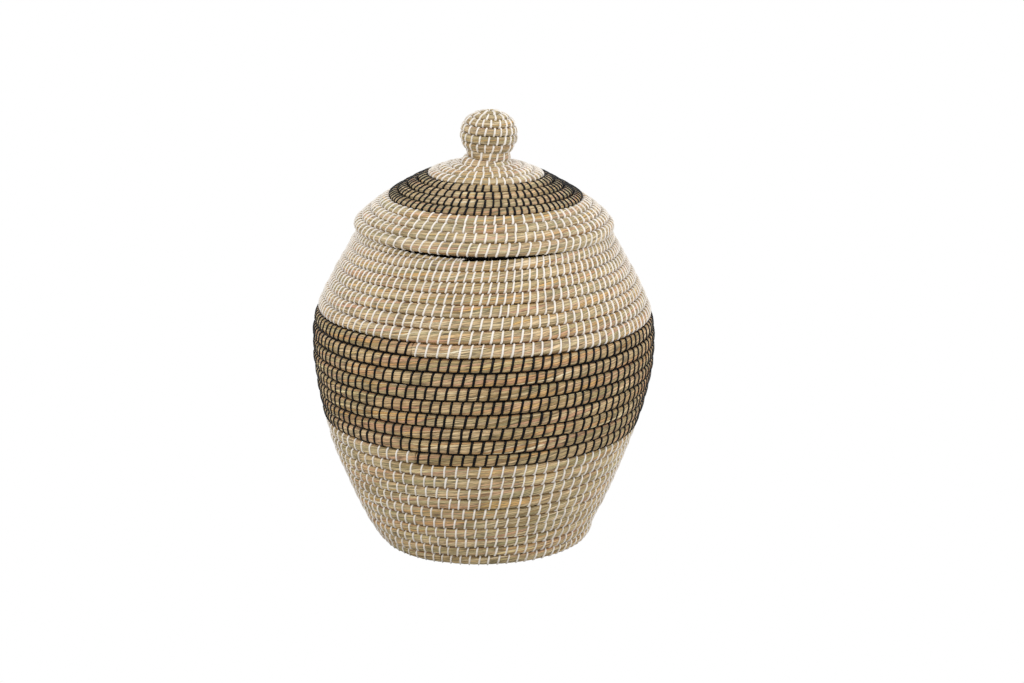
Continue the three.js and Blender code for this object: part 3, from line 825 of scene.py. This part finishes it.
def blade_material(name):
    """Single blades of sun-dried seagrass that lie loose on the bundle: thinner than the stems and
    bleached more, so that they look paler and a little smoother, in straw and ochre."""
    material, tree, surface = new_material(
        name, "#DCC48F", ior=1.47, metallic=0, roughness=0.5, specular=0.4
    )
    tone = add(tree, "Attribute", attribute_name="tone")
    colour = add(tree, "ValToRGB", {"Fac": tone.outputs["Fac"]}, [
        (0.0, "#E3D5A8"), (0.35, "#D9BE84"), (0.6, "#C9B27E"), (0.8, "#D0A55F"), (1.0, "#EFE6C8"),
    ])

    # Veins about 14 mm long. A dried blade's are 0.1 mm wide, too fine to show, so they are drawn
    # 0.3 mm wide, which shows in close views
    uv = add(tree, "UVMap")
    veins = add(tree, "VectorMath", {0: uv, 1: per_mm(14, 0.3)}, operation="MULTIPLY")
    veins = add(
        tree, "TexNoise", {"Vector": veins, "Scale": 1.0}, noise_dimensions="2D"
    ).outputs["Fac"]
    pale = add(tree, "ValToRGB", {"Fac": veins}, [(0.3, "#DCDCDC"), (0.7, "#FFFFFF")])
    colour = add(tree, "Mix", {0: 0.7, 6: colour, 7: pale}, **MULTIPLIED)
    tree.links.new(colour.outputs[2], surface["Base Color"])
    bump = add(tree, "Bump", {"Height": veins, "Strength": 0.5, "Distance": 0.0003})
    tree.links.new(bump.outputs[0], surface["Normal"])
    return material


def strip_material(name, dark, light, roughness, specular):
    """Polypropylene strip, extruded flat and drawn out lengthwise: an even colour, with fine
    streaks along it that break up the shine. The white one is matt, the black one slightly glossy.
    """
    material, tree, surface = new_material(
        name, light, ior=1.49, metallic=0, roughness=roughness, specular=specular
    )
    uv = add(tree, "UVMap")

    # Streaks of the drawing, 9 mm long. Real ones are 0.05 mm wide, too fine to show, so they are
    # drawn 0.25 mm wide, which shows in close views. Slow changes of tone come every 30 mm
    streaks = add(tree, "VectorMath", {0: uv, 1: per_mm(9, 0.25)}, operation="MULTIPLY")
    streaks = add(
        tree, "TexNoise", {"Vector": streaks, "Scale": 1.0}, noise_dimensions="2D"
    ).outputs["Fac"]
    slow = add(tree, "VectorMath", {0: uv, 1: per_mm(30, 30)}, operation="MULTIPLY")
    slow = add(
        tree, "TexNoise", {"Vector": slow, "Scale": 1.0, "Detail": 1.0}, noise_dimensions="2D"
    ).outputs["Fac"]
    tone = add(tree, "Math", {0: streaks, 1: slow}, operation="ADD")
    colour = add(tree, "ValToRGB", {"Fac": tone}, [(0.7, dark), (1.0, light)])
    tree.links.new(colour.outputs["Color"], surface["Base Color"])
    bump = add(tree, "Bump", {"Height": streaks, "Strength": 0.4, "Distance": 0.0002})
    tree.links.new(bump.outputs[0], surface["Normal"])
    return material


def first_length(outline, reached):
    """The length along an outline at which `reached` first holds of radius and height."""
    line, length = outline
    return int(np.argmax(reached(*line.T))) / (len(line) - 1) * length


def seat_tilt(angle):
    """How far the level seat lies above its middle at an angle."""
    return -math.tan(math.radians(SEAT_TILT)) * MOUTH_RADIUS * np.cos(np.radians(angle))


def wall_route():
    outline = body_outline()
    thicknesses = [
        (0, CENTRE_COIL),
        (2 * BASE_COIL, BASE_COIL),
        (BASE_RADIUS - BASE_CORNER, EDGE_COIL),
        (first_length(outline, lambda x, y: y >= LOWER_COIL_HEIGHT), LOWER_COIL),
        (first_length(outline, lambda x, y: y >= BAND_COIL_HEIGHT), BAND_COIL),
        (first_length(outline, lambda x, y: y >= SHOULDER_COIL_HEIGHT), SHOULDER_COIL),
        (outline[1], RIM_COIL),
    ]
    slope = math.cos(math.radians(MOUTH_LEAN))
    route = winding(
        Meridian(outline, thicknesses, 1), RIM_END_ANGLE, lambda a: seat_tilt(a) / slope,
        RIM_STEP, RIM_END_DROP, wall_lean, WALL_SLANT, WALL_SQUARENESS,
    )
    sew(route, WALL_SPACING, WALL_DRIFT, FASTENING)
    return route


def lid_route():
    outline = lid_outline()
    dome = first_length(outline, lambda x, y: (y <= NECK_FOOT) & (x > NECK_RADIUS))
    thicknesses = [
        (0, KNOB_COIL),
        (first_length(outline, lambda x, y: y <= NECK_FOOT + KNOB_RISE), KNOB_COIL),
        (dome - NECK_CORNER, NECK_COIL),
        (dome + NECK_CORNER, NECK_COIL),
        (dome + 3 * NECK_CORNER, DOME_COIL),
        (outline[1], BRIM_COIL),
    ]
    route = winding(
        Meridian(outline, thicknesses, -1), LID_END_ANGLE, lambda a: -seat_tilt(a),
        LID_STEP, LID_END_DROP, lid_lean, LID_SLANT, LID_SQUARENESS,
    )
    sew(route, LID_SPACING, LID_DRIFT)
    return route


def ring_route():
    """Two rows one above the other. The bundle steps down from the upper row to the lower one, and
    both its ends thin out along that step, so that the ring is closed all round."""
    turns = RING_ROWS + RING_STEP_TURNS
    back = np.linspace(0, turns, int(turns * Route.PER_TURN))

    def top(back):
        steps = [smooth_step(back, row, row + RING_STEP_TURNS) for row in range(1, RING_ROWS + 1)]
        return RING_TOP - RING_COIL * sum(steps)

    room = top(back) - top(back + 1)
    middle = np.column_stack([np.full(len(back), RING_RADIUS), (top(back) + top(back + 1)) / 2])
    normal = np.tile([1.0, 0.0], (len(back), 1))
    height = np.maximum(room / 2 - ROW_GAP, ROW_GAP)
    depth = np.minimum(RING_COIL / 2 - ROW_GAP, STRIP_STAND + FLATTEST * height)
    route = Route(
        LID_END_ANGLE + 360 * RING_STEP_TURNS, turns, middle, normal, (height, depth),
        np.zeros((2, len(back))), RING_SLANT, RING_SQUARENESS,
    )
    sew(route, RING_SPACING, RING_DRIFT)
    return route


def wad(name, rows, lean, material, body, replaced=()):
    """A wad of stems round the axis, from pairs of a level and the radius there."""
    level, radii = np.array(rows, dtype=float).T
    angle = np.linspace(0, -2 * math.pi, WAD_SIDES, endpoint=False)
    ridges = [share * np.sin(number * angle + shift) for share, number, shift in WAD_RIDGES]
    radius = np.outer(radii, sum(ridges, start=1))
    right, rear = lean(level)
    x = radius * np.cos(angle) + right[:, None]
    y = radius * np.sin(angle) + rear[:, None]
    points = np.stack(np.broadcast_arrays(x, y, level[:, None]), axis=-1)
    skin = tube(points, level, np.arange(WAD_SIDES + 1) / WAD_SIDES * PERIMETER)
    return make_mesh(name, *skin, material, body, "seagrass", replaced)


def knob_filling(material):
    """The wad that the knob is wound round. A thin tuft of it closes the middle of its top."""
    foot = NECK_FOOT - NECK_COIL / 2
    height = KNOB_TOP_RISE - KNOB_COIL * KNOB_CAP + NECK_COIL / 2
    rows = [(foot + share * height, radius) for share, radius in KNOB_FILLING]
    return wad("knob_filling", rows, lid_lean, material, "lid", ("knob_core",))


def base_start(material):
    """The folded start of the wall's bundle, in the middle of the base."""
    return wad("base_start", BASE_START, wall_lean, material, "basket")


def build_basket():
    stems = {
        grass_shading: seagrass_material("sun_dried_seagrass_for_" + grass_shading, *colours)
        for grass_shading, colours in GRASS_TINTS_AND_SEAM_SHADES.items()
    }
    straw = blade_material("sun_dried_seagrass_blade")
    light = strip_material(
        "extruded_white_polypropylene_strip", "#CDC5BA", "#E2DCD4", roughness=0.5, specular=0.35
    )
    dark = strip_material(
        "extruded_black_polypropylene_strip", "#030304", "#09090B", roughness=0.26, specular=0.12
    )
    strips = {"light_strip": light, "dark_strip": dark}
    wall = wall_route()
    cover = lid_route()
    ring = ring_route()
    join = (RIM_END_ANGLE - JOIN_ANGLE) / 360
    band_top = UPPER_TURNS + join
    band_foot = band_top + BAND_TURNS
    edge = band_foot + LOWER_TURNS
    lid_band = LID_BRIM_TURNS + LID_BAND_TURNS
    lengths = [  # each with its strip and the strip's width, and the number of its loose blades
        ("base", wall, wall.turns, edge, "light_strip", 2.3, "lower_wall", "basket", 20),
        ("lower_wall", wall, edge, band_foot, "light_strip", 2.35, "lower_wall", "basket", 110),
        ("band_wall", wall, band_foot, band_top, "dark_strip", 3.3, "wall_band", "basket", 130),
        ("upper_wall", wall, band_top, 0, "light_strip", 2.5, "upper_wall", "basket", 130),
        ("knob_and_crown", cover, cover.turns, lid_band, "light_strip", 2.3, "lid", "lid", 25),
        ("lid_band", cover, lid_band, LID_BRIM_TURNS, "dark_strip", 3.1, "lid_band", "lid", 30),
        ("lid_brim", cover, LID_BRIM_TURNS, 0, "light_strip", 2.5, "lid", "lid", 40),
    ]
    for name, route, start, end, slot, width, grass_shading, body, straw_count in lengths:
        grass = stems[grass_shading]
        bundle(name + "_bundle", route, start, end, grass, body, (name + "_coil",))
        strip(name + "_stitches", route, start, end, width, strips[slot], body, slot)
        straws(name + "_straws", route, start, end, straw_count, straw, body)
    # The ring takes the dark band's grass and is covered closely in the dark strip, partly as
    # painted shade in the gap under the brim
    grass = stems["lid_band"]
    bundle("locating_ring_bundle", ring, ring.turns, 0, grass, "lid", ("lid_locating_ring",))
    strip(
        "locating_ring_stitches", ring, ring.turns, 0, RING_STRIP_WIDTH, dark, "lid", "dark_strip"
    )
    knob_filling(stems["lid"])
    base_start(stems["lower_wall"])
    # Dark strips sunk in the seams of the dark bands: partly the strip running on between stitches,
    # partly painted shade in the seams
    for name, route, start, end, side, body in (
        ("band_wall_seams", wall, band_foot, band_top, -1, "basket"),
        ("lid_band_seams", cover, lid_band, LID_BRIM_TURNS, 1, "lid"),
    ):
        seam_shade_strip(name, route, start, end, side, dark, body, "dark_strip")


def backdrop_material():
    """White background paper, machine finished: matt and even. The camera sees it pure white, and
    everything else as a pale grey surface that takes the soft shadow."""
    material, tree, _ = new_material(
        "machine_finished_white_paper", "#C4C4C4", ior=1.5, metallic=0, roughness=0.9, specular=0.1
    )
    path = add(tree, "LightPath").outputs["Is Camera Ray"]
    white = add(tree, "Emission", {"Color": linear("#FFFFFF"), "Strength": 1.0})
    both = add(tree, "MixShader", {0: path, 1: tree.nodes["Principled BSDF"], 2: white})
    tree.links.new(both.outputs[0], tree.nodes["Material Output"].inputs["Surface"])
    return material


def build_stage():
    bpy.ops.object.select_all(action="DESELECT")
    bpy.ops.mesh.primitive_plane_add(size=FLOOR_SIZE)
    floor = bpy.context.object
    floor.name = "floor"
    floor.data.materials.append(backdrop_material())
    for name, place, size, power in LAMPS:
        aim = Vector(place) - Vector((0, 0, LAMP_AIM))
        bpy.ops.object.select_all(action="DESELECT")
        bpy.ops.object.light_add(
            type="AREA", location=place, rotation=aim.to_track_quat("Z", "Y").to_euler()
        )
        lamp = bpy.context.object
        lamp.name = name
        lamp.data.size = size
        lamp.data.energy = power
    world = bpy.data.worlds.new("studio")
    world.use_nodes = True
    tree = world.node_tree
    light = tree.nodes["Background"]
    light.inputs["Color"].default_value = linear("#FFFFFF")
    light.inputs["Strength"].default_value = FILL
    white = add(tree, "Background", {"Color": linear("#FFFFFF"), "Strength": 1.0})
    path = add(tree, "LightPath").outputs["Is Camera Ray"]
    both = add(tree, "MixShader", {0: path, 1: light, 2: white})
    tree.links.new(both.outputs[0], tree.nodes["World Output"].inputs["Surface"])
    bpy.context.scene.world = world


def build_camera():
    bpy.ops.object.select_all(action="DESELECT")
    bpy.ops.object.camera_add(
        location=CAMERA_PLACE, rotation=[math.radians(angle) for angle in CAMERA_ANGLES]
    )
    camera = bpy.context.object
    camera.name = "camera"
    camera.data.lens = CAMERA_LENS
    camera.data.sensor_width = CAMERA_SENSOR
    bpy.context.scene.camera = camera


build_basket()
build_stage()
build_camera()
bpy.context.scene.view_settings.view_transform = "Standard"
